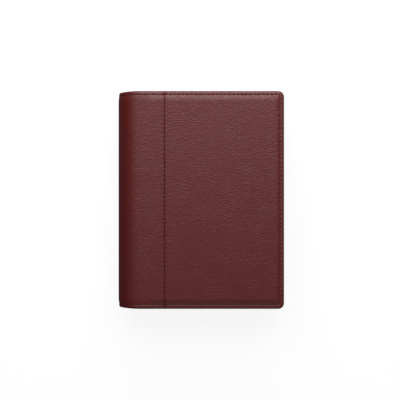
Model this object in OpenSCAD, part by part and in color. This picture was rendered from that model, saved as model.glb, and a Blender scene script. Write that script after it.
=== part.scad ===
// Padded ring-bound coin album, lying closed on its back cover.
// The spine is along -X, the head of the album at +Y and the front cover faces +Z.

/* [Album] */
// Overall width, from the round spine to the fore edge
album_w = 198; // [190:1:210]
// Overall height, from tail to head
album_h = 260; // [256:1:280]
// Closed thickness, which is also the diameter of the round spine
album_t = 56; // [55:0.5:60]

/* [Covers] */
// Radius of the two corners at the fore edge
corner_r = 7; // [5:0.5:10]
// Thickness of the flat stitched rim
rim_t = 4.2; // [3.8:0.1:4.8]
// Height of the padded crown above the rim
pad_rise = 1.8; // [1:0.1:2.4]
// Distance of the stitch channel from the edge
stitch_inset = 3.5; // [3.3:0.1:3.8]
// Depth of the stitch channel
channel_depth = 0.5; // [0.2:0.1:0.7]
// Distance of the foot of the padding from the edge
pad_inset = 4.4; // [4.2:0.1:5.5]
// Width of the padding's rounded shoulder
pad_shoulder = 7; // [5:0.5:10]
// Thickness of the leather
leather_t = 1.2; // [0.9:0.1:1.4]
// Thickness of the grey board in each cover
board_t = 2.8; // [2:0.1:3]
// Distance of the board from the edge
board_inset = 2.4; // [2.2:0.1:3]
// Thickness of the lining
lining_t = 0.6; // [0.4:0.1:0.8]

/* [Seam] */
// Distance of the lapped seam from the outside of the spine
seam_from_spine = 55; // [50:1:70]
// Width of the step along the lapped edge
seam_step_w = 0.6; // [0.3:0.1:1]
// Depth of the step along the lapped edge
seam_step_d = 0.5; // [0.2:0.1:0.7]

/* [Spine] */
// Number of strips that let the spine flatten
spine_strips = 5; // [5]
// Thickness of the card in the spine
spine_card_t = 1.2; // [0.8:0.1:1.4]
// Thickness of the spine at its crown
spine_t = 4; // [3.9:0.1:4.4]
// Height of the spine's crown above its stitched rim
spine_rise = 0.6; // [0.3:0.1:1]
// Stretch of the covers in which their rim rises to the spine's
rim_blend = 16; // [8:1:20]

/* [Ring mechanism] */
// Distance of the rings' centre line from the spine's hinge line
ring_from_hinge = 15; // [14:0.5:20]
// Radius of the rings to the middle of the wire
ring_r = 17.5; // [17:0.5:18]
// Diameter of the ring wire
wire_d = 3; // [2.5:0.1:3.2]
// Number of rings
ring_count = 4; // [2:1:4]
// Distance from ring to ring
ring_pitch = 65; // [55:1:66]
// Width of the arched housing
housing_w = 25; // [25:0.5:26]
// Height of the arched housing
housing_h = 6.2; // [6.2:0.1:6.6]
// Length of the arched housing
housing_l = 219; // [215:1:222]
// Thickness of the plated sheet
sheet_t = 0.9; // [0.7:0.1:1]
// Width of the end levers
lever_w = 8.4; // [6:0.2:8.6]

/* [Leaves] */
// Number of coin leaves
leaf_count = 8; // [8]
// Width of a leaf
leaf_w = 139; // [120:1:140]
// Height of a leaf
leaf_len = 246; // [240:1:248]
// Distance from leaf to leaf on the rings
leaf_pitch = 3.2; // [3:0.1:3.2]
// Thickness of the backing sheet
leaf_sheet_t = 0.5; // [0.4:0.1:0.6]
// Room inside a pocket
pocket_room = 1.6; // [1.2:0.1:1.7]
// Thickness of the clear pocket film
film_t = 0.4; // [0.3:0.1:0.4]
// Pockets side by side
pocket_columns = 3; // [2:1:4]
// Rows of pockets
pocket_rows = 5; // [3:1:6]
// Width of a weld line
weld_w = 1.6; // [1:0.1:2.5]
// Width of the margin that is punched for the rings
binding_margin = 17; // [16:1:24]
// Open mouth above each row of pockets
pocket_mouth = 5; // [4:0.5:8]

/* [Hidden] */
$fn = 48;
leather_colour = "#5b2a2b";
lining_colour = "#2a1a1a";
board_colour = "#8a8378";
padding_colour = "#cfc8b4";
plated_colour = "#c9ccd0";
sheet_colour = "#1d1d20";
film_colour = "#dfe6ea";

fore_x = album_w / 2;
head_y = album_h / 2;
cover_h = rim_t + pad_rise;
spine_r = album_t / 2;
hinge_x = -fore_x + spine_r;
seam_x = -fore_x + seam_from_spine;
inner_z = cover_h + lining_t;
front_z = album_t - cover_h;

// The padding's shoulder is an arc that rises from its foot to the flat crown
function rise_r(rise) = (pad_shoulder * pad_shoulder + rise * rise) / (2 * rise);
shoulder_steps = 5;
shoulder_d = pad_inset + pad_shoulder;
shoulder_t = cover_h - rise_r(pad_rise);
foam_r = rise_r(pad_rise) - leather_t;

// Room between pieces that move against each other
gap = 0.3;
// Open hairline between neighbouring spine strips, in degrees
strip_gap = 0.3;
strip_angle = 180 / spine_strips;
board_start = hinge_x + 1.4;
lining_start = hinge_x + 0.5;
lining_inset = 1.6;
// Radius of the spine at the level where a cover's board begins
spine_base_r = spine_r - cover_h;

ring_x = hinge_x + ring_from_hinge;
housing_top = inner_z + housing_h;
carrier_t = 1.2;
carrier_z = inner_z + 1.8;
carrier_half_w = housing_w / 2 - 1.5;
carrier_l = housing_l - 6;
leg_x = 9.2;
leg_top = inner_z + 5.1;
leg_r = wire_d / 2 - 0.1;
foot_r = wire_d / 2 - 0.3;
ring_z = leg_top + sqrt(ring_r * ring_r - leg_x * leg_x);
leg_angle = acos(leg_x / ring_r);
tongue_len = 1.2;
tongue_gap = 0.15;
rivet_y = ring_pitch;
rivet_r = 2;
rivet_head_r = 3.6;
rivet_head_h = 1.2;
rivet_flange_r = 5;
rivet_flange_h = 0.8;
arch_rise = 2.4;
arch_r = (housing_w * housing_w / 4 + arch_rise * arch_rise) / (2 * arch_rise);
lever_pivot_y = housing_l / 2 - 1.5;
lever_pivot_z = inner_z + 0.9;

leaf_top_h = 9.8;
leaf_fan = 2.4;
leaf_inner_margin = 6;
slot_w = wire_d + 2;
slot_inner = 2.9;
slot_outer = 8;
pocket_edge = 1;
leaf_edge = 2;
// Hairline between welded strips
weld_gap = 0.05;
pocket_w = leaf_w - binding_margin - pocket_edge;
pocket_len = leaf_len - 2 * leaf_edge;
column_pitch = (pocket_w - weld_w) / pocket_columns;
row_pitch = pocket_len / pocket_rows;

leaf_numbers = [for (k = [1:leaf_count]) k];
strip_numbers = [for (k = [1:spine_strips]) k];

// Points along an arc, from angle a0 to a1 in n steps
function arc(cx, cy, r, a0, a1, n) =
    [for (i = [0:n]) let (a = a0 + (a1 - a0) * i / n) [cx + r * cos(a), cy + r * sin(a)]];

function flipped(list) = [for (i = [len(list) - 1:-1:0]) list[i]];

// Outer side of a section as [distance from the edge, height], from the crown over the
// shoulder, the stitch channel and the rolled edge to the inner face at height base
function outer_side(base, rise) = let (
    r = rise_r(rise),
    rim = cover_h - rise,
    roll_h = (rim - base) / 2,
    roll_w = min(roll_h, rim_t / 2)
) concat(
    arc(shoulder_d, cover_h - r, r, 90, 90 + asin(pad_shoulder / r), shoulder_steps),
    [[stitch_inset, rim - channel_depth], [stitch_inset - 0.7, rim]],
    [for (p = arc(0, 0, 1, 90, 270, 8)) [roll_w * (1 + p[0]), base + roll_h * (1 + p[1])]]
);

// Inner side of the leather over the board and the padding
inner_side = concat(
    [[board_inset, 0], [board_inset, board_t]],
    arc(
        shoulder_d, shoulder_t, foam_r,
        90 + acos((board_t - shoulder_t) / foam_r), 90, shoulder_steps
    )
);
function leather_side(rise) = concat(outer_side(0, rise), inner_side);
padding_side = arc(
    shoulder_d, shoulder_t, foam_r,
    90, 90 + acos((board_t - shoulder_t) / foam_r), shoulder_steps
);

// Triangles that fill the end of a side profile: the leather's band between its outer and
// inner sides, and the padding's bow
leather_n = len(leather_side(pad_rise));
board_corner = leather_n - shoulder_steps - 2;
leather_fill = concat(
    [for (i = [0:shoulder_steps - 1]) each [
        [i, i + 1, leather_n - 2 - i],
        [i, leather_n - 2 - i, leather_n - 1 - i]
    ]],
    [[shoulder_steps, board_corner, board_corner + 1]],
    [for (i = [shoulder_steps:board_corner - 2]) [i, i + 1, board_corner]]
);
padding_fill = [for (i = [1:len(padding_side) - 2]) [0, i, i + 1]];

// A side profile mirrored into a whole section over the album's height
function section(side) = concat(
    [for (p = side) [-head_y + p[0], p[1]]],
    [for (p = flipped(side)) [head_y - p[0], p[1]]]
);

// Corner radius of the contour at a distance from the edge
function contour_r(d) = max(corner_r - d, 3);

// Contour round head, fore edge and tail at a distance d from the edge, open at x0
function contour(x0, d) = let (
    r = contour_r(d),
    cx = fore_x - d - r,
    cy = head_y - d - r
) concat(
    [[x0, -head_y + d]],
    arc(cx, -cy, r, -90, 0, 6),
    arc(cx, cy, r, 0, 90, 6),
    [[x0, head_y - d]]
);

// Faces of a loft of n rings with m points each, from one end cap to the other
function loft_walls(n, m) = [
    for (i = [0:n - 2], j = [0:m - 2])
        each [
            [i * m + j, i * m + j + 1, (i + 1) * m + j],
            [i * m + j + 1, (i + 1) * m + j + 1, (i + 1) * m + j]
        ]
];

// Solid lofted through the contours of a side profile, cut square at x0 and filled there
module edge_loft(side, fill, x0) {
    rings = [for (p = side) [for (q = contour(x0, p[0])) [q[0], q[1], p[1]]]];
    n = len(rings);
    m = len(rings[0]);
    crown = [for (j = [m - 1:-1:0]) j];
    inside = [for (j = [0:m - 1]) (n - 1) * m + j];
    bridge = [[0, (n - 1) * m, n * m - 1], [0, n * m - 1, m - 1]];
    ends = [for (f = fill) each [m * f, m * flipped(f) + [m - 1, m - 1, m - 1]]];
    polyhedron(
        [for (ring = rings) each ring],
        concat(loft_walls(n, m), [crown, inside], bridge, ends),
        convexity = 6
    );
}

// Flat outline of a layer in a cover, square at the spine and round at the fore edge
module cover_outline(x0, d) {
    r = max(corner_r - d, 1);
    half = head_y - d;
    x1 = fore_x - d;
    polygon(concat(
        [[x0, -half]],
        arc(x1 - r, -half + r, r, -90, 0, 8),
        arc(x1 - r, half - r, r, 0, 90, 8),
        [[x0, half]]
    ));
}

// Extrudes an outline in Y and Z along X
module along_x(x0, x1) {
    translate([x0, 0, 0])
        rotate([90, 0, 90])
            linear_extrude(x1 - x0)
                children();
}

// Extrudes an outline in X and Z along Y
module along_y(y0, y1) {
    translate([0, y1, 0])
        rotate([90, 0, 0])
            linear_extrude(y1 - y0)
                children();
}

// The front cover stands above front_z, and the back cover is its mirror image
module in_cover(front) {
    if (front)
        translate([0, 0, front_z])
            children();
    else
        translate([0, 0, cover_h])
            mirror([0, 0, 1])
                children();
}

// Shafts of the rivets that hold the ring mechanism
module rivet_shafts(r, z0, z1) {
    for (s = [-1, 1])
        translate([ring_x, s * rivet_y, z0])
            cylinder(r = r, h = z1 - z0);
}

// Outer panel of leather, from the lapped seam round the fore edge
module cover_leather(front) {
    color(leather_colour)
        in_cover(front)
            edge_loft(leather_side(pad_rise), leather_fill, seam_x);
}

// Leather of the spine's wrap, whose rim falls from the spine's height to the cover's
module wrap_loft(x0, x1) {
    steps = 4;
    stations = concat([for (i = [0:steps]) x0 + rim_blend * i / steps], [x1]);
    rings = [for (x = stations) let (
        share = min((x - x0) / rim_blend, 1),
        eased = share * share * (3 - 2 * share),
        rise = spine_rise + (pad_rise - spine_rise) * eased
    ) [for (p = section(leather_side(rise))) [x, p[0], p[1]]]];
    n = len(rings);
    m = len(rings[0]);
    last = (n - 1) * m;
    shift = [1, 1, 1];
    closing = [for (i = [0:n - 2]) each [
        [i * m + m - 1, i * m, (i + 1) * m + m - 1],
        [i * m, (i + 1) * m, (i + 1) * m + m - 1]
    ]];
    walls = [for (f = concat(loft_walls(n, m), closing)) flipped(f)];
    fill = concat(
        leather_fill,
        [for (f = leather_fill) (m - 1) * shift - flipped(f)],
        [[0, leather_n - 1, leather_n], [0, leather_n, m - 1]]
    );
    polyhedron(
        [for (ring = rings) each ring],
        concat(walls, fill, [for (f = fill) flipped(f) + last * shift]),
        convexity = 6
    );
}

// Leather that runs from the spine over the seam, with its lapped edge stepped down
module cover_wrap_leather(front) {
    color(leather_colour)
        in_cover(front)
            difference() {
                wrap_loft(hinge_x + gap / 4, seam_x);
                translate([seam_x - seam_step_w, -head_y - 1, cover_h - seam_step_d])
                    cube([2 * seam_step_w, album_h + 2, 2 * seam_step_d]);
            }
}

module cover_padding(front) {
    color(padding_colour)
        in_cover(front)
            edge_loft(padding_side, padding_fill, board_start);
}

module cover_board(front) {
    color(board_colour)
        difference() {
            in_cover(front)
                linear_extrude(board_t)
                    cover_outline(board_start, board_inset);
            if (!front) {
                rivet_shafts(rivet_r, 0, inner_z);
                rivet_shafts(rivet_flange_r, 0, cover_h - board_t + rivet_flange_h);
            }
        }
}

module cover_lining(front) {
    color(lining_colour)
        difference() {
            in_cover(front)
                translate([0, 0, -lining_t])
                    linear_extrude(lining_t)
                        cover_outline(lining_start, lining_inset);
            if (!front)
                rivet_shafts(rivet_r, 0, housing_top);
        }
}

// Revolves an outline of [radius, height] through strip k of the spine, strip 1 at the back
module spine_strip(k) {
    translate([hinge_x, 0, spine_r])
        rotate([-90, 0, 0])
            rotate([0, 0, 90 + (k - 1) * strip_angle + strip_gap / 2])
                rotate_extrude(angle = strip_angle - strip_gap)
                    children();
}

// Section of the spine's leather, with its outside matching the covers
spine_low = cover_h - spine_t;
spine_card_top = spine_low + lining_t + spine_card_t;
spine_side = concat(
    outer_side(spine_low, spine_rise),
    [[board_inset, spine_low], [board_inset, spine_card_top]]
);

module spine_leather(k) {
    color(leather_colour)
        spine_strip(k)
            polygon([for (p = section(spine_side)) [spine_base_r + p[1], p[0]]]);
}

module spine_layer(k, low, thick, colour) {
    half = head_y - board_inset;
    color(colour)
        spine_strip(k)
            translate([spine_base_r + low, -half])
                square([thick, 2 * half]);
}

module spine_card(k) {
    spine_layer(k, spine_low + lining_t, spine_card_t, board_colour);
}

module spine_lining(k) {
    spine_layer(k, spine_low, lining_t, lining_colour);
}

function ring_y(i) = (i - (ring_count - 1) / 2) * ring_pitch;

// Arched sheet over the carriers, open at its ends and slotted for the rings
module ring_housing() {
    arch_z = housing_top - arch_r;
    color(plated_colour)
        difference() {
            along_y(-housing_l / 2, housing_l / 2)
                translate([ring_x, 0])
                    housing_section(arch_z);
            for (i = [0:ring_count - 1], s = [-1, 1])
                translate([ring_x + s * (leg_x + 2.6), ring_y(i), housing_top])
                    cube([10, wire_d + 4 * gap, 4 * housing_h], center = true);
            rivet_shafts(rivet_r, 0, 2 * housing_top);
        }
}

// Arch with straight sides and rolled-in lips that carry the carriers' edges
module housing_section(arch_z) {
    difference() {
        intersection() {
            translate([0, arch_z])
                circle(arch_r);
            translate([-housing_w / 2, inner_z])
                square([housing_w, housing_h + 1]);
        }
        intersection() {
            translate([0, arch_z])
                circle(arch_r - sheet_t);
            translate([-housing_w / 2 + sheet_t, inner_z + sheet_t])
                square([housing_w - 2 * sheet_t, housing_h]);
        }
        translate([-housing_w / 2 + 2.5, inner_z - 1])
            square([housing_w - 5, 3]);
    }
}

// Two tubular rivets, clenched under the board and headed over the housing
module housing_rivets() {
    board_low = cover_h - board_t;
    color(plated_colour)
        for (s = [-1, 1])
            translate([ring_x, s * rivet_y, 0])
                rotate_extrude()
                    polygon(concat(
                        [
                            [0, board_low],
                            [rivet_flange_r, board_low],
                            [rivet_flange_r, board_low + rivet_flange_h],
                            [rivet_r, board_low + rivet_flange_h],
                            [rivet_r, housing_top],
                            [rivet_head_r, housing_top]
                        ],
                        [for (a = [30:30:90])
                            [rivet_head_r * cos(a), housing_top + rivet_head_h * sin(a)]]
                    ));
}

// Carrier plate on the right of the middle, notched round the rivets
module carrier() {
    difference() {
        translate([gap / 2, -carrier_l / 2, carrier_z])
            cube([carrier_half_w - gap / 2, carrier_l, carrier_t]);
        for (s = [-1, 1])
            translate([0, s * rivet_y, carrier_z - 1])
                cylinder(r = rivet_r + 4 * gap, h = carrier_t + 2);
        for (i = [0:ring_count - 1])
            translate([leg_x, ring_y(i), carrier_z - 1])
                cylinder(r = foot_r, h = carrier_t + 2);
    }
}

// Right half of a ring: a bent wire with a staked foot and a lapped tip
module half_ring() {
    overlap = asin(tongue_len / ring_r);
    carrier_top = carrier_z + carrier_t;
    difference() {
        union() {
            translate([0, 0, ring_z])
                rotate([-90, 0, 0])
                    rotate([0, 0, -90 - overlap])
                        rotate_extrude(angle = 90 + overlap + leg_angle)
                            translate([ring_r, 0])
                                circle(d = wire_d);
            translate([leg_x, 0, carrier_top])
                cylinder(r = leg_r, h = leg_top - carrier_top + leg_r / 2);
            translate([leg_x, 0, carrier_z])
                cylinder(r = foot_r, h = carrier_t + gap);
        }
        translate([-5, -tongue_gap / 2, ring_z + ring_r - wire_d])
            cube([5 + tongue_len + tongue_gap, wire_d, 2 * wire_d]);
    }
}

module left_carrier() {
    color(plated_colour)
        translate([ring_x, 0, 0])
            rotate([0, 0, 180])
                carrier();
}

module right_carrier() {
    color(plated_colour)
        translate([ring_x, 0, 0])
            carrier();
}

module left_rings() {
    color(plated_colour)
        for (i = [0:ring_count - 1])
            translate([ring_x, ring_y(i), 0])
                rotate([0, 0, 180])
                    half_ring();
}

module right_rings() {
    color(plated_colour)
        for (i = [0:ring_count - 1])
            translate([ring_x, ring_y(i), 0])
                half_ring();
}

// Flat bar with round ends between two points of a bent strip's outline
module bar(p, q, w) {
    d = q - p;
    translate(p) {
        rotate(atan2(d[1], d[0]))
            translate([0, -w / 2])
                square([norm(d), w]);
        circle(d = w);
    }
    translate(q)
        circle(d = w);
}

// Bent end lever with a rolled thumb edge, at the head end
module lever() {
    y = lever_pivot_y;
    z = lever_pivot_z;
    bend = [
        [y - 2.2, z],
        [y + 0.4, z],
        [y + 4.5, z + 6.2],
        [y + 9, z + 12.5],
        [y + 13, z + 14.8]
    ];
    along_x(ring_x - lever_w / 2, ring_x + lever_w / 2) {
        for (i = [0:len(bend) - 2])
            bar(bend[i], bend[i + 1], 1.2);
        translate(bend[4])
            circle(r = 1.4);
    }
}

module top_lever() {
    color(plated_colour)
        lever();
}

module bottom_lever() {
    color(plated_colour)
        mirror([0, 1, 0])
            lever();
}

// Height of leaf k above the rings' centre, leaf 1 nearest the front cover
function leaf_h(k) = leaf_top_h - (k - 1) * leaf_pitch;

// Slope of leaf k, fanned so that the stack fills the room between the covers
function leaf_tilt(k) = leaf_fan * (1 - 2 * (k - 1) / (leaf_count - 1));

// Distance of the ring wire from the rings' centre at leaf k
function wire_u(k) = sqrt(ring_r * ring_r - leaf_h(k) * leaf_h(k));

function leaf_u(k) = wire_u(k) - leaf_inner_margin;

module on_leaf(k) {
    translate([ring_x, 0, ring_z])
        rotate([0, -leaf_tilt(k), 0])
            translate([leaf_u(k), 0, leaf_h(k)])
                children();
}

// Oblong hole for a ring, with room for the rings to part
module ring_slot() {
    x0 = leaf_inner_margin - slot_inner + slot_w / 2;
    x1 = leaf_inner_margin + slot_outer - slot_w / 2;
    polygon(concat(
        arc(x1, 0, slot_w / 2, -90, 90, 8),
        arc(x0, 0, slot_w / 2, 90, 270, 8)
    ));
}

module leaf_sheet(k) {
    color(sheet_colour)
        on_leaf(k)
            translate([0, 0, -leaf_sheet_t / 2])
                linear_extrude(leaf_sheet_t)
                    difference() {
                        translate([0, -leaf_len / 2])
                            square([leaf_w, leaf_len]);
                        for (i = [0:ring_count - 1])
                            translate([0, ring_y(i)])
                                ring_slot();
                    }
}

// Clear films welded to the sheet: each pocket is open towards the head
module leaf_pockets(k) {
    film_h = row_pitch - pocket_mouth;
    cell = column_pitch - weld_w;
    color(film_colour, 0.4)
        on_leaf(k)
            translate([binding_margin, -pocket_len / 2, leaf_sheet_t / 2]) {
                for (c = [0:pocket_columns])
                    translate([c * column_pitch, 0, 0])
                        cube([weld_w, pocket_len - pocket_mouth, pocket_room]);
                for (c = [0:pocket_columns - 1], r = [0:pocket_rows - 1])
                    translate([c * column_pitch + weld_w + weld_gap, r * row_pitch, 0])
                        cube([cell - 2 * weld_gap, weld_w, pocket_room]);
                for (r = [0:pocket_rows - 1])
                    translate([0, r * row_pitch, pocket_room + weld_gap])
                        cube([pocket_w, film_h, film_t]);
            }
}

cover_leather(false);  // back_leather
cover_wrap_leather(false);  // back_wrap_leather
cover_padding(false);  // back_padding
cover_board(false);  // back_board
cover_lining(false);  // back_lining
for (k = strip_numbers) {
    spine_leather(k);
    spine_card(k);
    spine_lining(k);
}
cover_leather(true);  // front_leather
cover_wrap_leather(true);  // front_wrap_leather
cover_padding(true);  // front_padding
cover_board(true);  // front_board
cover_lining(true);  // front_lining
ring_housing();
housing_rivets();
left_carrier();
left_rings();
right_carrier();
right_rings();
top_lever();
bottom_lever();
for (k = leaf_numbers) {
    leaf_sheet(k);
    leaf_pockets(k);
}
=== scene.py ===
import math

import bmesh
import bpy
from mathutils import Matrix, Vector


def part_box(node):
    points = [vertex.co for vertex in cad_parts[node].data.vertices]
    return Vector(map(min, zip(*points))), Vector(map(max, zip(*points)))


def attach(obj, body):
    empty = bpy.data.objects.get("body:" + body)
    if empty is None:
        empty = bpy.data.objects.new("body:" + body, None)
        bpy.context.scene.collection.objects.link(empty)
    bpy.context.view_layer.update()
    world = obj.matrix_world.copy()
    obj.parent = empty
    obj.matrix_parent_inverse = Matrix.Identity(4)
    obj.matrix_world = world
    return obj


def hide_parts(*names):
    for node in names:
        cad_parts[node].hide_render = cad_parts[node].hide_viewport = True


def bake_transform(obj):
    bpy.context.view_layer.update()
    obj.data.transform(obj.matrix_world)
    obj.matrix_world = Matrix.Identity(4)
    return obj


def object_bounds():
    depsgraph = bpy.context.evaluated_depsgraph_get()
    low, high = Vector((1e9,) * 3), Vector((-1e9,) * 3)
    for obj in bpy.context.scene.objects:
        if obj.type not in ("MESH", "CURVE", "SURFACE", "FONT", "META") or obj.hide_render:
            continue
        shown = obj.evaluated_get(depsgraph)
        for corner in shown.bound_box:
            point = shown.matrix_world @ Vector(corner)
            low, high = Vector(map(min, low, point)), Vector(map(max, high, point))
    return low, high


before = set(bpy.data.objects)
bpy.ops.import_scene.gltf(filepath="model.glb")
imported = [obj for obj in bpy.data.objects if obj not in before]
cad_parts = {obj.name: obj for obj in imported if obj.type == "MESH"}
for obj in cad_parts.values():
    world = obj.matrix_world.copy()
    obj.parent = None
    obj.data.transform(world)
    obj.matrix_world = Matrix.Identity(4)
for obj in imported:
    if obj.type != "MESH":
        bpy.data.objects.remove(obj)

cad_low, cad_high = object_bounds()

# Lengths are millimetres in the album's own frame: spine along -X, head at +Y, front cover facing +Z.
# Meshes are scaled to the frame's metres when a piece is finished.
MM = 0.001


def corners(node_name):
    """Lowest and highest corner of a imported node, in millimetres."""
    return [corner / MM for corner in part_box(node_name)]


# Album and covers, as packed
FORE_X, HEAD_Y, ALBUM_T = cad_high / MM
SPINE_R = ALBUM_T / 2
HINGE_X = SPINE_R - FORE_X
SEAM_X, _, FRONT_Z = corners("front_leather")[0]
COVER_H = ALBUM_T - FRONT_Z
LINING_T = FRONT_Z - corners("front_lining")[0].z
LINING_X = corners("front_lining")[0].x
LINING_INSET = FORE_X - corners("front_lining")[1].x

# Edge section of the covers and of the spine
CORNER_R = 7
CROWN_R = 3
RIM_T = 4.2
TURN_IN = 2
EDGE_ROLL = 3.2
PAD_RISE = COVER_H - RIM_T
SPINE_RISE = 0.6
SPINE_LOW = 2
SPINE_EASE = 6
RIM_BLEND = 16
STITCH_INSET = 3.75
CHANNEL_DEPTH = 1
# Stitch channel, as distance from the stitch line and share of its depth: slanted outside, steep inside
CHANNEL = ((-0.45, 0), (-0.1, 0.25), (0.25, 0.6), (0.6, 0.95), (0.8, 1), (1, 0.7), (1.15, 0.35))
PAD_INSET = 5.05
PAD_SHOULDER = 7
CROWN_RUN = 4
CROWN_D = PAD_INSET + PAD_SHOULDER + CROWN_RUN
CROWN_BULGE = 0.5
# Heights between which the leather's edge becomes its top
TOP_LOW = 2.6
TOP_HIGH = 3.1

# Spine wrap: its way from the front seam round the spine to the back seam
FLAT = SEAM_X - HINGE_X
HALF_TURN = math.pi * SPINE_R
WRAP_LENGTH = 2 * FLAT + HALF_TURN
STRIPS = 5
STRIP_TURN = math.pi / STRIPS
HINGE_EASE = 9
SPINE_SHORT = 1.6

# Lapped seam: the wrap lies over the panel, which dips under it
LAP_T = 0.4
LAP_ROLL = 0.35
LAP_FADE = 12
UNDERLAP = 5
SEAM_DIP = 0.7
DIP_START = 0.1
DIP_W = 1.2
SEAM_STITCH = 1.8
SEAM_GROOVE = 0.35
GROOVE_W = 0.5
GROOVE_RELIEF = 0.8
# Heights between which the lap comes in, so that the wrap's own edge stays as it is
LAP_LOW = 2
LAP_HIGH = 4.5
# Mesh lines beside the seam, as distances from it on the panel and on the wrap
PANEL_EDGE = [-UNDERLAP, -0.6, -0.2, 0.1, 0.35, 0.65, 0.9, 1.2, 1.5, 1.8, 2.1, 2.4]
PANEL_CLEAR = 3.2
WRAP_EDGE = [0, 0.04, 0.12, 0.25, 0.42, 0.6, 0.9, 1.2, 1.5, 1.8, 2.1, 2.4, 2.8, 3.4]

# Stitching
STITCH_PITCH = 5.1
STITCH_LENGTH = 2.7
STITCH_LOW = 0.3
THREAD_D = 0.7
STITCH_DIP = 0.35
NUDGE = 0.1
PUCKER_REACH = 1.5
GAP_SLOPE = 1.5
GAP_SHIFT = 0.6
# How far the padded leather fills the stitch channel along a stitch, and how much more between two
SWELL = {"head": (0, 1), "fore": (0.45, 0.3), "tail": (0.45, 0.3)}
ROW_END = CORNER_R

# Mesh steps of the leather: beside stitches, along the plain spine and over one stretch of it
SKIN_STEP = STITCH_PITCH / 6
PLAIN_STEP = 4 * STITCH_PITCH
STRETCH_STEPS = 16

# Ring mechanism and leaves, as in the solids
RING_X = sum(corner.x for corner in corners("ring_housing")) / 2
RING_R = 17.5
WIRE_D = 3
RING_Z = corners("left_rings")[1].z - RING_R - WIRE_D / 2
LEAVES = 8
LEAF_TOP_H = 9.8
LEAF_PITCH = 3.2
LEAF_FAN = 2.4
LEAF_MARGIN = 6
SHEET_T = 0.5
POCKET_X = 17
POCKET_W = 121
POCKET_LENGTH = 242
POCKET_COLUMNS = 3
POCKET_ROWS = 5
POCKET_MOUTH = 5
POCKET_ROOM = 1.5
MOUTH_ROOM = 0.55
SWELL_ACROSS = 9
SWELL_UP = 12
WELD_W = 1.6
WELD_EDGE = 0.01
FILM_T = 0.2
FILM_GAP = 0.1
FILM_LINES = [0, 0.8, 1.3, 3, 7, 13]

# Names of the leather's and cloth's flat coordinates and of the film's weld mark
SKIN_UV = "skin"
WELD = "weld"


def eased(share):
    """Smooth step from 0 to 1."""
    share = min(max(share, 0), 1)
    return share * share * (3 - 2 * share)


def spaced(start, stop, count):
    """Values from start to stop in a number of even steps."""
    return [start + (stop - start) * k / count for k in range(count + 1)]


def linear(hex_colour):
    """sRGB hex colour as linear RGBA."""
    parts = [int(hex_colour[k:k + 2], 16) / 255 for k in (1, 3, 5)]
    return tuple(c / 12.92 if c <= 0.04045 else ((c + 0.055) / 1.055) ** 2.4 for c in parts) + (1,)


# Materials


def new_material(name):
    """A material with only its surface shader."""
    material = bpy.data.materials.new(name)
    material.use_nodes = True
    return material, material.node_tree, material.node_tree.nodes["Principled BSDF"]


def node(tree, kind, inputs=None, **settings):
    """Adds a node with its settings; inputs gives each socket a value or another node's output."""
    made = tree.nodes.new("ShaderNode" + kind)
    for name, value in settings.items():
        setattr(made, name, value)
    connect(tree, made, inputs or {})
    return made


def connect(tree, made, inputs):
    """Gives each named socket of a node a value or another node's output."""
    for name, value in inputs.items():
        if isinstance(value, bpy.types.NodeSocket):
            tree.links.new(value, made.inputs[name])
        else:
            made.inputs[name].default_value = value


def burgundy_leather():
    """Drum-dyed leather with an embossed grain and a semi-matt finish: short lengthwise creases over fine
    pebbles, pressed deeper in some patches and towards the head, a deep red with painted shade that darkens
    it a little in the creases, and a soft broad sheen that turns matt at a low angle."""
    material, tree, shader = new_material("burgundy_embossed_leather")
    skin = node(tree, "UVMap", uv_map=SKIN_UV).outputs["UV"]
    stretched = node(tree, "Mapping", {"Vector": skin, "Scale": (1 / (8 * MM), 1 / (2 * MM), 1)})
    creases = node(
        tree, "TexNoise",
        {"Vector": stretched.outputs[0], "Scale": 1, "Detail": 2, "Distortion": 0.4, "Offset": 1, "Gain": 2},
        noise_type="RIDGED_MULTIFRACTAL",
    )
    depth = node(tree, "MapRange", {"Value": creases.outputs["Fac"], "From Min": 0.3, "From Max": 2.2})
    pebbles = node(
        tree, "TexVoronoi", {"Vector": skin, "Scale": 1 / (1.3 * MM)}, feature="SMOOTH_F1"
    )
    # Painted shade: the deep red darkens a little where the creases are deepest.
    colour = node(
        tree, "Mix",
        {0: depth.outputs[0], 6: linear("#5b120f"), 7: linear("#4e0e0b")},
        data_type="RGBA",
    )
    smooth = node(tree, "MapRange", {"Value": depth.outputs[0], "To Min": 0.35, "To Max": 0.46})
    facing = node(tree, "LayerWeight", {"Blend": 0.5}).outputs["Facing"]
    rough = node(
        tree, "MapRange",
        {"Value": facing, "From Min": 0.3, "From Max": 0.7, "To Min": smooth.outputs[0], "To Max": 0.9},
    )
    fine = node(
        tree, "Bump", {"Height": pebbles.outputs["Distance"], "Strength": 0.35, "Distance": 0.12 * MM}
    )
    patches = node(tree, "TexNoise", {"Vector": skin, "Scale": 1 / (26 * MM), "Detail": 1})
    patchy = node(
        tree, "MapRange",
        {"Value": patches.outputs["Fac"], "From Min": 0.3, "From Max": 0.7, "To Min": 0.5, "To Max": 1.3},
    )
    headwards = node(
        tree, "MapRange",
        {
            "Value": node(tree, "SeparateXYZ", {"Vector": skin}).outputs["Y"],
            "From Min": -HEAD_Y * MM, "From Max": HEAD_Y * MM, "To Min": 0.6, "To Max": 1.25,
        },
    )
    pressed = node(tree, "Math", {0: patchy.outputs[0], 1: headwards.outputs[0]}, operation="MULTIPLY")
    height = node(tree, "Math", {0: depth.outputs[0], 1: pressed.outputs[0]}, operation="MULTIPLY")
    grain = node(
        tree, "Bump",
        {"Height": height.outputs[0], "Strength": 1, "Distance": 0.22 * MM, "Normal": fine.outputs[0]},
        invert=True,
    )
    connect(tree, shader, {
        "Base Color": colour.outputs[2],
        "Roughness": rough.outputs[0],
        "Normal": grain.outputs[0],
    })
    return material


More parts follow.
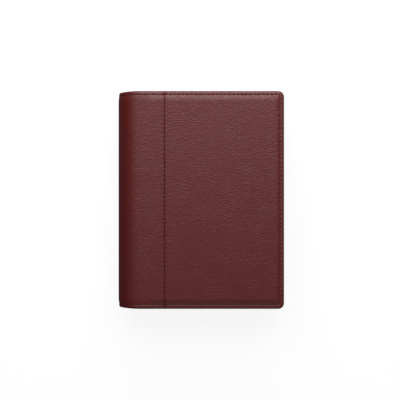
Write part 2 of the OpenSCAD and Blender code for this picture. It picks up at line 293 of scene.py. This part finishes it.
def sewing_thread():
    """Bonded polyester thread: a tone darker than the leather, matt, with a fine twist."""
    material, tree, shader = new_material("bonded_polyester_thread")
    place = node(tree, "TexCoord").outputs["Object"]
    twist = node(tree, "TexNoise", {"Vector": place, "Scale": 1 / (0.5 * MM), "Detail": 2})
    colour = node(
        tree, "Mix", {0: twist.outputs["Fac"], 6: linear("#220a07"), 7: linear("#3a130d")}, data_type="RGBA"
    )
    bump = node(tree, "Bump", {"Height": twist.outputs["Fac"], "Strength": 0.5, "Distance": 0.1 * MM})
    connect(tree, shader, {
        "Base Color": colour.outputs[2],
        "Roughness": 0.6,
        "Normal": bump.outputs[0],
        "Specular IOR Level": 0.3,
    })
    return material


def lining_cloth():
    """Starched book cloth: a dark plain weave with a dry, matt face. The threads are drawn 0.9 mm apart,
    twice as coarse as they are, so that they show."""
    material, tree, shader = new_material("dark_book_cloth")
    skin = node(tree, "UVMap", uv_map=SKIN_UV).outputs["UV"]
    waves = [
        node(tree, "TexWave", {"Vector": skin, "Scale": 0.314 / (0.9 * MM), "Distortion": 0.4},
             bands_direction=direction)
        for direction in "XY"
    ]
    weave = node(
        tree, "Math", {0: waves[0].outputs["Fac"], 1: waves[1].outputs["Fac"]}, operation="MULTIPLY"
    )
    colour = node(
        tree, "Mix", {0: weave.outputs[0], 6: linear("#1d1214"), 7: linear("#35231f")}, data_type="RGBA"
    )
    bump = node(tree, "Bump", {"Height": weave.outputs[0], "Strength": 0.5, "Distance": 0.15 * MM})
    connect(tree, shader, {
        "Base Color": colour.outputs[2],
        "Roughness": 0.8,
        "Normal": bump.outputs[0],
        "Specular IOR Level": 0.25,
    })
    return material


def grey_board():
    """Pressed grey board: recycled fibre with pale and dark flecks, quite matt."""
    material, tree, shader = new_material("pressed_grey_board")
    place = node(tree, "TexCoord").outputs["Object"]
    flecks = node(tree, "TexNoise", {"Vector": place, "Scale": 1 / (1.5 * MM), "Detail": 6})
    colour = node(
        tree, "Mix", {0: flecks.outputs["Fac"], 6: linear("#6f6a60"), 7: linear("#a09a8d")}, data_type="RGBA"
    )
    bump = node(tree, "Bump", {"Height": flecks.outputs["Fac"], "Strength": 0.3, "Distance": 0.1 * MM})
    connect(tree, shader, {"Base Color": colour.outputs[2], "Roughness": 0.9, "Normal": bump.outputs[0]})
    return material


def nickel_plate():
    """Satin nickel plate on sheet steel and wire: a slightly warm grey with a soft gleam and faint drawing
    marks."""
    material, tree, shader = new_material("nickel_plated_steel")
    place = node(tree, "TexCoord").outputs["Object"]
    drawn = node(tree, "Mapping", {"Vector": place, "Scale": (1 / (0.8 * MM), 1 / (12 * MM), 1 / (0.8 * MM))})
    marks = node(tree, "TexNoise", {"Vector": drawn.outputs[0], "Scale": 1, "Detail": 4})
    rough = node(tree, "MapRange", {"Value": marks.outputs["Fac"], "To Min": 0.36, "To Max": 0.52})
    colour = node(
        tree, "Mix", {0: marks.outputs["Fac"], 6: linear("#a5a19a"), 7: linear("#b9b5ae")}, data_type="RGBA"
    )
    bump = node(tree, "Bump", {"Height": marks.outputs["Fac"], "Strength": 0.1, "Distance": 0.05 * MM})
    connect(tree, shader, {
        "Base Color": colour.outputs[2],
        "Metallic": 1,
        "Roughness": rough.outputs[0],
        "Normal": bump.outputs[0],
    })
    return material


def leaf_card():
    """Black backing card of a coin leaf: smooth dyed paper with a faint fibre."""
    material, tree, shader = new_material("black_leaf_card")
    place = node(tree, "TexCoord").outputs["Object"]
    fibre = node(tree, "TexNoise", {"Vector": place, "Scale": 1 / (0.9 * MM), "Detail": 5})
    colour = node(
        tree, "Mix", {0: fibre.outputs["Fac"], 6: linear("#131315"), 7: linear("#26262a")}, data_type="RGBA"
    )
    rough = node(tree, "MapRange", {"Value": fibre.outputs["Fac"], "To Min": 0.6, "To Max": 0.8})
    connect(tree, shader, {"Base Color": colour.outputs[2], "Roughness": rough.outputs[0]})
    return material


def clear_film():
    """Soft clear PVC film: nearly invisible from the front, with a slick, slightly rippled gloss, and frosted
    where it is welded."""
    material, tree, shader = new_material("clear_pvc_film")
    place = node(tree, "TexCoord").outputs["Object"]
    ripple = node(tree, "TexNoise", {"Vector": place, "Scale": 1 / (14 * MM), "Detail": 2})
    bump = node(tree, "Bump", {"Height": ripple.outputs["Fac"], "Strength": 0.4, "Distance": 1 * MM})
    frosted = node(tree, "Attribute", attribute_name=WELD).outputs["Fac"]
    alpha = node(tree, "MapRange", {"Value": frosted, "To Min": 0.1, "To Max": 0.4})
    rough = node(tree, "MapRange", {"Value": frosted, "To Min": 0.12, "To Max": 0.5})
    connect(tree, shader, {
        "Base Color": linear("#e4eaee"),
        "Roughness": rough.outputs[0],
        "Alpha": alpha.outputs[0],
        "Normal": bump.outputs[0],
    })
    return material


LEATHER = burgundy_leather()
THREAD = sewing_thread()
CLOTH = lining_cloth()
BOARD = grey_board()
NICKEL = nickel_plate()
CARD = leaf_card()
FILM = clear_film()


# Sections and places


def side_profile(rise, base):
    """Edge section of the leather as (distance from the edge, height) pairs: turned in under the lining,
    round the rolled edge, over the stitch channel and up the padded shoulder to the crown."""
    rim = COVER_H - rise
    roll_h = (rim - base) / 2
    shoulder_r = (PAD_SHOULDER ** 2 + rise ** 2) / (2 * rise)
    profile = [(LINING_INSET + TURN_IN, base)]
    for a in spaced(-math.pi / 2, math.pi / 2, 10):
        profile.append((EDGE_ROLL * (1 - math.cos(a)), base + roll_h * (1 + math.sin(a))))
    for d, depth in CHANNEL:
        profile.append((STITCH_INSET + d, rim - depth * CHANNEL_DEPTH))
    for run in spaced(PAD_SHOULDER, 0, 8):
        height = COVER_H - shoulder_r + math.sqrt(shoulder_r ** 2 - run ** 2)
        profile.append((PAD_INSET + PAD_SHOULDER - run, height))
    for d in (CROWN_D - CROWN_RUN / 2, CROWN_D):
        profile.append((d, COVER_H))
    return profile


def reach(profile):
    """Length over the leather from the crown to each point of an edge section."""
    lengths = [0]
    for near, far in zip(profile[:0:-1], profile[-2::-1]):
        lengths.append(lengths[-1] + math.dist(near, far))
    return lengths[::-1]


PANEL_PROFILE = side_profile(PAD_RISE, 0)
LAST = len(PANEL_PROFILE) - 1
PANEL_REACH = reach(PANEL_PROFILE)

ROW_HALF = HEAD_Y - ROW_END
FORE_COUNT = round(2 * ROW_HALF / STITCH_PITCH)
FORE_PITCH = 2 * ROW_HALF / FORE_COUNT
HEAD_COUNT = round((FORE_X - ROW_END - SEAM_X) / STITCH_PITCH)
HEAD_PITCH = (FORE_X - ROW_END - SEAM_X) / HEAD_COUNT
WRAP_COUNT = round(WRAP_LENGTH / STITCH_PITCH)
WRAP_PITCH = WRAP_LENGTH / WRAP_COUNT


def cover_z(front, height):
    """Place of a height above a board's inner face: the back cover is the front's mirror image."""
    return FRONT_Z + height if front else COVER_H - height


def wrap_place(p, height):
    """X and Z of a height over the spine wrap at the length p from the front seam."""
    turn = (p - FLAT) / SPINE_R
    if turn <= 0:
        return SEAM_X - p, FRONT_Z + height
    if turn >= math.pi:
        return HINGE_X + p - FLAT - HALF_TURN, COVER_H - height
    r = SPINE_R - COVER_H + height
    return HINGE_X - r * math.sin(turn), SPINE_R + r * math.cos(turn)


def onto_spine(p):
    """Length from the nearer hinge line on to the spine, below 0 on the covers."""
    return min(p, WRAP_LENGTH - p) - FLAT


def gap(phase):
    """1 half-way between two stitches, where phase is whole, and 0 along a stitch."""
    return eased(GAP_SLOPE * math.cos(2 * math.pi * phase) + GAP_SHIFT)


def swell(side, phase):
    """Share of the stitch channel that the padded leather fills beside one side of the album."""
    along, between = SWELL[side]
    return along + between * gap(phase)


def pucker(share, d, height, rise):
    """How far the padded leather swells out of the stitch channel."""
    if d <= EDGE_ROLL:
        return 0
    crown = PAD_INSET + PAD_SHOULDER
    outwards = max(crown - d, 0) / (crown - EDGE_ROLL)
    fade = math.exp(-(max(d - STITCH_INSET, 0) / PUCKER_REACH) ** 2)
    return (COVER_H - rise * outwards ** 2 - height) * share * fade


def seam_groove(y, away):
    """Depth of the groove that a row of stitches beside the seam presses into the leather."""
    relief = GROOVE_RELIEF * gap((y + ROW_HALF) / FORE_PITCH)
    return SEAM_GROOVE * (1 - relief) * math.exp(-(away / GROOVE_W) ** 2)


def on_top(height):
    """1 on the outer face of a cover or the spine and 0 at its edge and turned-in underside."""
    return eased((height - TOP_LOW) / (TOP_HIGH - TOP_LOW))


def finish_piece(name, bm, material):
    """Makes an object of a mesh in millimetres, smooth, in the frame's metres."""
    bmesh.ops.scale(bm, vec=(MM, MM, MM), verts=bm.verts)
    mesh = bpy.data.meshes.new(name)
    bm.to_mesh(mesh)
    bm.free()
    mesh.materials.append(material)
    mesh.shade_smooth()
    piece = bpy.data.objects.new(name, mesh)
    bpy.context.collection.objects.link(piece)
    return piece


def lay_skin(bm, places):
    """Moves a grid's vertices to their places and gives it the flat leather's coordinates, in metres."""
    layer = bm.loops.layers.uv.new(SKIN_UV)
    for v in bm.verts:
        v.co, flat = places[v.index]
        for loop in v.link_loops:
            loop[layer].uv = (flat[0] * MM, flat[1] * MM)


# Padded cover panels


def corner_place(d, share):
    """Point of a rounded corner at a distance from the edge, measured from the corner of the flat crown."""
    r = min(max(CORNER_R - d, CROWN_R), CROWN_D - d)
    if r <= 0:
        return 0, 0
    straight = CROWN_D - d - r
    length = 2 * straight + r * math.pi / 2
    along = share * length
    if along < straight:
        return CROWN_D - d, along
    if along > length - straight:
        return length - along, CROWN_D - d
    a = (along - straight) / r
    return straight + r * math.cos(a), straight + r * math.sin(a)


def cover_swell(x, y):
    """Share of the stitch channel that is filled at a point of a cover, with one stitch round each corner."""
    end = "head" if y > 0 else "tail"
    over_x = x - FORE_X + ROW_END
    over_y = abs(y) - ROW_HALF
    if over_x > 0 and over_y > 0:
        turned = math.atan2(over_y, over_x) / (math.pi / 2)
        return (1 - turned) * swell("fore", turned) + turned * swell(end, turned)
    if FORE_X - x < HEAD_Y - abs(y):
        return swell("fore", (y + ROW_HALF) / FORE_PITCH)
    return swell(end, (x - SEAM_X) / HEAD_PITCH)


def padded_panel(front):
    """Leather and padding of one cover, from under the lapped seam round its rolled edges."""
    crown_x = FORE_X - CROWN_D
    crown_y = HEAD_Y - CROWN_D
    clear_x = SEAM_X + PANEL_CLEAR
    stations = [SEAM_X + dx for dx in PANEL_EDGE]
    stations += spaced(clear_x, crown_x, round((crown_x - clear_x) / SKIN_STEP))
    steps_x = len(stations) - 1
    steps_y = round(2 * crown_y / SKIN_STEP)
    columns = steps_x + LAST
    rows = steps_y + 2 * LAST
    bm = bmesh.new()
    bmesh.ops.create_grid(bm, x_segments=columns, y_segments=rows, size=0.5)
    places = []
    for v in bm.verts:
        i = round((v.co.x + 0.5) * columns)
        j = round((v.co.y + 0.5) * rows)
        from_fore = min(columns - i, LAST)
        from_end = min(j, rows - j, LAST)
        sign = 1 if 2 * j > rows else -1
        d, height = PANEL_PROFILE[min(from_fore, from_end)]
        flat_x = stations[min(i, steps_x)]
        flat_y = crown_y * (2 * min(max(j - LAST, 0), steps_y) / steps_y - 1)
        x, y = flat_x, flat_y
        if from_fore < LAST and from_end < LAST:
            out_x, out_y = LAST - from_fore, LAST - from_end
            share = 0.5 * out_y / out_x if out_x >= out_y else 1 - 0.5 * out_x / out_y
            dx, dy = corner_place(d, share)
            x, y = crown_x + dx, sign * (crown_y + dy)
        elif from_end < LAST:
            y = sign * (HEAD_Y - d)
        elif from_fore < LAST:
            x = FORE_X - d
        top = on_top(height)
        height += pucker(cover_swell(x, y), d, height, PAD_RISE)
        height -= top * SEAM_DIP * (1 - eased((x - SEAM_X - DIP_START) / DIP_W))
        height -= top * seam_groove(y, x - SEAM_X - SEAM_STITCH)
        if front:
            across = (2 * x - SEAM_X - crown_x) / (crown_x - SEAM_X)
            height += CROWN_BULGE * (1 - (y / crown_y) ** 2) * max(1 - across ** 2, 0) * eased(d - PAD_INSET)
        flat = flat_x + PANEL_REACH[from_fore], flat_y + sign * PANEL_REACH[from_end]
        places.append((Vector((x, y, cover_z(front, height))), flat))
    lay_skin(bm, places)
    if not front:
        bmesh.ops.reverse_faces(bm, faces=bm.faces)
    side = "front" if front else "back"
    panel = finish_piece(f"{side}_padded_panel", bm, LEATHER)
    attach(panel, f"{side}_cover")
    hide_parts(f"{side}_leather", f"{side}_padding")


# Spine wrap, in stretches that each cross one hinge line


def wrap_rise(p):
    """Height of the wrap's crown over its rim at the length p: the rim rises towards the spine."""
    return PAD_RISE + (SPINE_RISE - PAD_RISE) * eased(1 + onto_spine(p) / RIM_BLEND)


def wrap_profile(p):
    """Edge section of the wrap at the length p: on the spine its inside is narrower."""
    return side_profile(wrap_rise(p), SPINE_LOW * eased(onto_spine(p) / SPINE_EASE + 0.5))


def lap(p):
    """Height of the wrap over the panel that it laps, rounded at its cut edge."""
    p = min(p, WRAP_LENGTH - p)
    rounded = math.sqrt(1 - (1 - min(p / LAP_ROLL, 1)) ** 2)
    over = LAP_T * (1 - eased((p - SEAM_STITCH) / LAP_FADE))
    return (over + SEAM_DIP) * rounded - SEAM_DIP


def end_short(p):
    """How much shorter the wrap is on the spine, where its ends are drawn in."""
    turn = min(max(onto_spine(p), 0) / SPINE_R, math.pi / 2)
    return SPINE_SHORT * math.sin(turn) ** 2


def hinge_sag(p):
    """How far the wrap sags beside a hinge line, so that it starts to bend gradually."""
    inwards = onto_spine(p)
    share = min(max(inwards / HINGE_EASE, -1), 1)
    sag = (1 + share) ** 3 if share < 0 else 2 - (1 - share) ** 3
    past = eased((inwards - HINGE_EASE) / (HALF_TURN / 2 - HINGE_EASE))
    return HINGE_EASE ** 2 / (12 * SPINE_R) * sag * (1 - past)


TURNS = [STRIP_TURN * (k + 0.5) for k in range(STRIPS)]
CUTS = [0] + [FLAT + SPINE_R * turn for turn in TURNS] + [WRAP_LENGTH]
CHAIN = ["front_cover"] + [f"spine_{k}" for k in range(STRIPS, 0, -1)] + ["back_cover"]
STRETCHES = range(len(CUTS) - 1)


def stretch_stations(k, edge):
    """Lengths along stretch k of the wrap, close together at a lapped edge."""
    near, far = CUTS[k], CUTS[k + 1]
    if k == 0:
        return edge + spaced(edge[-1] + SKIN_STEP, far, round((far - edge[-1]) / SKIN_STEP) - 1)
    if k == STRETCHES[-1]:
        return [WRAP_LENGTH - p for p in stretch_stations(0, edge)][::-1]
    return spaced(near, far, STRETCH_STEPS)


def bend(piece):
    """Bakes the placement of a stretch of the wrap, its thread or the gutter cloth into its mesh; it is not
    tied to the bodies that it joins.
    """
    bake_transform(piece)


def wrap_stretch(k):
    """Leather of the spine wrap over one hinge line, with its lapped edge where it meets a panel."""
    stations = stretch_stations(k, WRAP_EDGE)
    crown_y = HEAD_Y - CROWN_D
    has_seam = k in (0, STRETCHES[-1])
    steps_y = round(2 * crown_y / (SKIN_STEP if has_seam else PLAIN_STEP))
    columns = len(stations) - 1
    rows = steps_y + 2 * LAST
    profiles = [wrap_profile(p) for p in stations]
    reaches = [reach(profile) for profile in profiles]
    bm = bmesh.new()
    bmesh.ops.create_grid(bm, x_segments=columns, y_segments=rows, size=0.5)
    places = []
    for v in bm.verts:
        i = round((v.co.x + 0.5) * columns)
        j = round((v.co.y + 0.5) * rows)
        p = stations[i]
        from_seam = min(p, WRAP_LENGTH - p)
        from_end = min(j, rows - j, LAST)
        sign = 1 if 2 * j > rows else -1
        d, height = profiles[i][from_end]
        end = "head" if sign > 0 else "tail"
        height += pucker(swell(end, p / WRAP_PITCH), d, height, wrap_rise(p))
        height += lap(p) * eased((height - LAP_LOW) / (LAP_HIGH - LAP_LOW))
        flat_y = crown_y * (2 * min(max(j - LAST, 0), steps_y) / steps_y - 1)
        y = flat_y if abs(flat_y) < crown_y else sign * (HEAD_Y - d - end_short(p))
        height -= on_top(height) * seam_groove(y, from_seam - SEAM_STITCH)
        height -= hinge_sag(p)
        x, z = wrap_place(p, height)
        places.append((Vector((x, y, z)), (SEAM_X - p, flat_y + sign * reaches[i][from_end])))
    lay_skin(bm, places)
    bmesh.ops.reverse_faces(bm, faces=bm.faces)
    piece = finish_piece(f"spine_wrap_{k}", bm, LEATHER)
    covers = {0: ["front_wrap_leather", "spine_5_leather"], STRETCHES[-1]: ["back_wrap_leather"]}
    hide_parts(*covers.get(k, [f"{CHAIN[k + 1]}_leather"]))
    bend(piece)


# Stitches


def sew(bm, at, along, up):
    """One visible stitch: a short thread that bends down into its two needle holes."""
    stitch = bmesh.ops.create_uvsphere(bm, u_segments=8, v_segments=6, radius=1)["verts"]
    for v in stitch:
        dip = STITCH_DIP * v.co.z ** 2
        v.co = (v.co.z * STITCH_LENGTH / 2, v.co.x * THREAD_D / 2, v.co.y * THREAD_D / 2 - dip)
    along = Vector(along).normalized()
    up = Vector(up).normalized()
    turned = Matrix((along, up.cross(along), up)).transposed().to_4x4()
    bmesh.ops.transform(bm, matrix=Matrix.Translation(at) @ turned, verts=stitch)


def cover_rows(bm, front, height, up):
    """Stitches round a cover from its seam: tail, corner, fore edge, corner and head."""
    z = cover_z(front, height)
    for k in range(HEAD_COUNT):
        x = SEAM_X + (k + 0.5) * HEAD_PITCH
        for y in (STITCH_INSET - HEAD_Y, HEAD_Y - STITCH_INSET):
            sew(bm, (x, y, z), (1, 0, 0), up)
    for k in range(FORE_COUNT):
        y = -ROW_HALF + (k + 0.5) * FORE_PITCH
        sew(bm, (FORE_X - STITCH_INSET, y, z), (0, 1, 0), up)
    diagonal = (ROW_END - STITCH_INSET) * math.sqrt(0.5)
    for sign in (-1, 1):
        at = FORE_X - ROW_END + diagonal, sign * (ROW_HALF + diagonal), z
        sew(bm, at, (-1, sign, 0), up)


def cover_thread(front):
    """Thread of a cover's rim, outside and inside, and of its lapped seam."""
    side = "front" if front else "back"
    up = Vector((0, 0, 1 if front else -1))
    bm = bmesh.new()
    cover_rows(bm, front, RIM_T - STITCH_LOW, up)
    cover_rows(bm, front, -LINING_T, -up)
    for k in range(FORE_COUNT):
        y = -ROW_HALF + (k + 0.5) * FORE_PITCH
        for dx, face in ((-SEAM_STITCH, COVER_H + LAP_T), (SEAM_STITCH, COVER_H)):
            sew(bm, (SEAM_X + dx, y, cover_z(front, face - STITCH_LOW)), (0, 1, 0), up)
    thread = finish_piece(f"{side}_cover_thread", bm, THREAD)
    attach(thread, f"{side}_cover")


def wrap_thread(k):
    """Stitches along the head and tail of stretch k of the wrap."""
    bm = bmesh.new()
    for row in range(WRAP_COUNT):
        p = (row + 0.5) * WRAP_PITCH
        if not CUTS[k] <= p < CUTS[k + 1]:
            continue
        height = COVER_H - wrap_rise(p) - STITCH_LOW + lap(p) - hinge_sag(p)
        x, z = wrap_place(p, height)
        ahead = Vector(wrap_place(p + NUDGE, height)) - Vector(wrap_place(p - NUDGE, height))
        along = Vector((ahead.x, 0, ahead.y))
        row_y = HEAD_Y - STITCH_INSET - end_short(p)
        for y in (-row_y, row_y):
            sew(bm, (x, y, z), along, along.cross((0, -1, 0)))
    thread = finish_piece(f"wrap_thread_{k}", bm, THREAD)
    bend(thread)


# Lining

LINING_ROUND = 0.4 * LINING_T
SHARP_EDGE = math.radians(35)
GUTTER_START = 3
GUTTER_INSET = 2.2
GUTTER_LEAD = 1


def lining_sheet(front):
    """Book cloth glued over a board's inner face, with rounded corners at the fore edge."""
    side = "front" if front else "back"
    edge_x, edge_y = FORE_X - LINING_INSET, HEAD_Y - LINING_INSET
    bm = bmesh.new()
    bmesh.ops.create_grid(bm, x_segments=1, y_segments=1, size=0.5)
    for v in bm.verts:
        v.co = (edge_x if v.co.x > 0 else LINING_X, math.copysign(edge_y, v.co.y), 0)
    bmesh.ops.bevel(
        bm, geom=[v for v in bm.verts if v.co.x > 0], offset=CORNER_R - LINING_INSET,
        affect="VERTICES", segments=8, profile=0.5, material=-1,
    )
    top = bmesh.ops.extrude_face_region(bm, geom=bm.faces[:])["geom"]
    bmesh.ops.translate(bm, vec=(0, 0, LINING_T), verts=[v for v in top if isinstance(v, bmesh.types.BMVert)])
    rim = [e for e in bm.edges if all(v.co.z > LINING_T / 2 for v in e.verts) and len(e.link_faces) == 2
           and abs(e.link_faces[0].normal.dot(e.link_faces[1].normal)) < 0.5]
    bmesh.ops.bevel(bm, geom=rim, offset=LINING_ROUND, affect="EDGES", segments=3, profile=0.5, material=-1)
    layer = bm.loops.layers.uv.new(SKIN_UV)
    for face in bm.faces:
        for loop in face.loops:
            loop[layer].uv = (loop.vert.co.x * MM, loop.vert.co.y * MM)
    for v in bm.verts:
        v.co.z = cover_z(front, -v.co.z)
    bmesh.ops.recalc_face_normals(bm, faces=bm.faces)
    sheet = finish_piece(f"{side}_lining_cloth", bm, CLOTH)
    sheet.data.set_sharp_from_angle(angle=SHARP_EDGE)
    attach(sheet, f"{side}_cover")
    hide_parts(f"{side}_lining")


def gutter_height(p):
    """Height of the gutter cloth: under the cover linings at its ends, and on the spine's card between."""
    under = LINING_T / 4
    return (SPINE_LOW + under) * eased((onto_spine(p) + GUTTER_LEAD) / SPINE_EASE) - under


def gutter_stretch(k):
    """Book cloth that lines the spine over one hinge line and runs on under the cover linings."""
    first = FLAT - GUTTER_START
    last = WRAP_LENGTH - first
    stations = spaced(max(CUTS[k], first), min(CUTS[k + 1], last), STRETCH_STEPS)
    section = [wrap_place(p, gutter_height(p)) for p in stations]
    width = 2 * (HEAD_Y - GUTTER_INSET)
    bm = bmesh.new()
    bmesh.ops.create_grid(bm, x_segments=len(stations) - 1, y_segments=12, size=0.5)
    places = []
    for v in bm.verts:
        i = round((v.co.x + 0.5) * (len(stations) - 1))
        x, z = section[i]
        y = width * v.co.y
        places.append((Vector((x, y, z)), (SEAM_X - stations[i], y)))
    lay_skin(bm, places)
    cloth = finish_piece(f"gutter_cloth_{k}", bm, CLOTH)
    if k > 0:
        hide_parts(f"{CHAIN[k]}_lining")
    bend(cloth)


# Coin leaves


def leaf_place(k):
    """Place of leaf k in the frame: on the rings, with the stack fanned out to the fore edge."""
    rise = LEAF_TOP_H - LEAF_PITCH * (k - 1)
    tilt = math.radians(LEAF_FAN * (1 - 2 * (k - 1) / (LEAVES - 1)))
    inner = math.sqrt(RING_R ** 2 - rise ** 2) - LEAF_MARGIN
    turned = Matrix.Rotation(-tilt, 4, "Y")
    return Matrix.Translation((RING_X, 0, RING_Z)) @ turned @ Matrix.Translation((inner, 0, rise))


def leaf_film(k):
    """Clear film of a leaf: rows of pockets that swell between their welds and gape a little at the mouth."""
    pitch_x = (POCKET_W - WELD_W) / POCKET_COLUMNS
    pitch_y = POCKET_LENGTH / POCKET_ROWS
    row_h = pitch_y - POCKET_MOUTH
    pocket = [*FILM_LINES, pitch_x / 2] + [pitch_x - x for x in FILM_LINES[:0:-1]]
    columns = [c * pitch_x + x for c in range(POCKET_COLUMNS) for x in pocket] + [POCKET_COLUMNS * pitch_x]
    rows = [WELD_W / 2 + y for y in FILM_LINES] + spaced(row_h / 2, row_h, 4)
    rows[0] = 0
    steps_x, steps_y = len(columns) - 1, len(rows) - 1
    bm = bmesh.new()
    weld = bm.verts.layers.float.new(WELD)
    for row in range(POCKET_ROWS):
        made = bmesh.ops.create_grid(bm, x_segments=steps_x, y_segments=steps_y, size=0.5)
        for v in made["verts"]:
            across = columns[round((v.co.x + 0.5) * steps_x)]
            up = rows[round((v.co.y + 0.5) * steps_y)]
            within = abs(across - round(across / pitch_x) * pitch_x) - WELD_W / 2
            above = up - WELD_W
            v[weld] = 1 if min(within, above) < WELD_EDGE else 0
            room = POCKET_ROOM * math.sqrt(eased(within / SWELL_ACROSS)) * math.sqrt(eased(above / SWELL_UP))
            room *= MOUTH_ROOM + (1 - MOUTH_ROOM) * math.sin(math.pi * up / row_h)
            v.co = (
                POCKET_X + WELD_W / 2 + across,
                row * pitch_y - POCKET_LENGTH / 2 + up,
                SHEET_T / 2 + FILM_GAP + room,
            )
    bmesh.ops.solidify(bm, geom=bm.faces[:], thickness=-FILM_T)
    bmesh.ops.transform(bm, matrix=leaf_place(k), verts=bm.verts)
    bmesh.ops.recalc_face_normals(bm, faces=bm.faces)
    film = finish_piece(f"leaf_{k}_film", bm, FILM)
    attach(film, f"leaf_{k}")
    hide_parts(f"leaf_{k}_pockets")


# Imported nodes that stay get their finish


def dress(material, *names):
    """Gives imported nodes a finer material."""
    for name in names:
        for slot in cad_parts[name].material_slots:
            slot.material = material


for is_front in (True, False):
    padded_panel(is_front)
    cover_thread(is_front)
    lining_sheet(is_front)
for stretch in STRETCHES:
    wrap_stretch(stretch)
    wrap_thread(stretch)
    gutter_stretch(stretch)
for leaf in range(1, LEAVES + 1):
    leaf_film(leaf)

dress(BOARD, "front_board", "back_board", *[f"spine_{k}_card" for k in range(1, STRIPS + 1)])
dress(NICKEL, "ring_housing", "housing_rivets", "left_carrier", "right_carrier")
dress(NICKEL, "left_rings", "right_rings", "top_lever", "bottom_lever")
dress(CARD, *[f"leaf_{k}_sheet" for k in range(1, LEAVES + 1)])


# Stage, light and camera

FLOOR_HALF = 4000
FLOOR_Z = -0.6
SENSOR_W = 36
CAMERA_UP = 3500
FIELD = 476.7
FRAME_CENTRE = (-1.25, -0.07)


def seen_directly(tree):
    """1 for what the camera sees, also through clear film, and 0 for light that bounces on."""
    path = node(tree, "LightPath")
    return node(
        tree, "Math", {0: path.outputs["Is Camera Ray"], 1: path.outputs["Is Transmission Ray"]},
        operation="MAXIMUM",
    ).outputs[0]


def white_floor():
    """Seamless white paper: bright where it is seen, with the object's soft shadow left on it."""
    material, tree, shader = new_material("white_paper_floor")
    output = tree.nodes["Material Output"]
    tree.nodes.remove(shader)
    dim = node(tree, "BsdfDiffuse", {"Color": (0.05, 0.05, 0.05, 1)})
    paper = node(tree, "BsdfDiffuse", {"Color": (0.15, 0.15, 0.15, 1)})
    glow = node(tree, "Emission", {"Color": (1, 1, 1, 1), "Strength": 0.88})
    bright = node(tree, "AddShader", {0: paper.outputs[0], 1: glow.outputs[0]})
    mix = node(tree, "MixShader", {0: seen_directly(tree), 1: dim.outputs[0], 2: bright.outputs[0]})
    tree.links.new(mix.outputs[0], output.inputs["Surface"])
    return material


def floor():
    """White paper just under the back cover's stitches."""
    bm = bmesh.new()
    bmesh.ops.create_grid(bm, x_segments=1, y_segments=1, size=FLOOR_HALF)
    bmesh.ops.translate(bm, vec=(0, 0, FLOOR_Z), verts=bm.verts)
    finish_piece("floor", bm, white_floor())


def sky():
    """Grey studio ceiling, lighter overhead and towards the head, and white where the camera sees it."""
    world = bpy.data.worlds.new("studio")
    bpy.context.scene.world = world
    world.use_nodes = True
    tree = world.node_tree
    background = tree.nodes["Background"]
    way = node(tree, "TexCoord").outputs["Generated"]
    height = node(tree, "VectorMath", {0: way, 1: (0.1, 0.3, 0.95)}, operation="DOT_PRODUCT")
    ceiling = node(
        tree, "MapRange",
        {"Value": height.outputs["Value"], "From Min": -0.2, "From Max": 0.6, "To Min": 0.05, "To Max": 0.25},
    )
    strength = node(tree, "Mix", {0: seen_directly(tree), 2: ceiling.outputs[0], 3: 1})
    connect(tree, background, {"Color": (1, 1, 1, 1), "Strength": strength.outputs[0]})


def soft_box(name, at, aim, size, watts):
    """A soft box that the camera doesn't see, aimed at a point; places and sizes in millimetres."""
    lamp = bpy.data.lights.new(name, "AREA")
    lamp.shape = "RECTANGLE"
    lamp.size, lamp.size_y = size[0] * MM, size[1] * MM
    lamp.energy = watts
    box = bpy.data.objects.new(name, lamp)
    box.location = Vector(at) * MM
    box.rotation_euler = (Vector(aim) - Vector(at)).to_track_quat("-Z", "Y").to_euler()
    box.visible_camera = False
    bpy.context.collection.objects.link(box)


def camera():
    """Camera far above the front cover, looking straight down on it."""
    lens = bpy.data.cameras.new("camera")
    lens.sensor_width = SENSOR_W
    lens.lens = SENSOR_W * CAMERA_UP / FIELD
    eye = bpy.data.objects.new("camera", lens)
    eye.location = Vector((*FRAME_CENTRE, ALBUM_T + CAMERA_UP)) * MM
    bpy.context.collection.objects.link(eye)
    bpy.context.scene.camera = eye


floor()
sky()
soft_box("overhead", at=(0, 440, 800), aim=(0, 20, 50), size=(1500, 600), watts=6.1)
soft_box("head_key", at=(0, 800, 360), aim=(0, 60, 50), size=(900, 220), watts=6.8)
soft_box("tail_fill", at=(0, -800, 420), aim=(0, 0, 50), size=(900, 260), watts=0.9)
camera()
bpy.context.scene.view_settings.view_transform = "Standard"
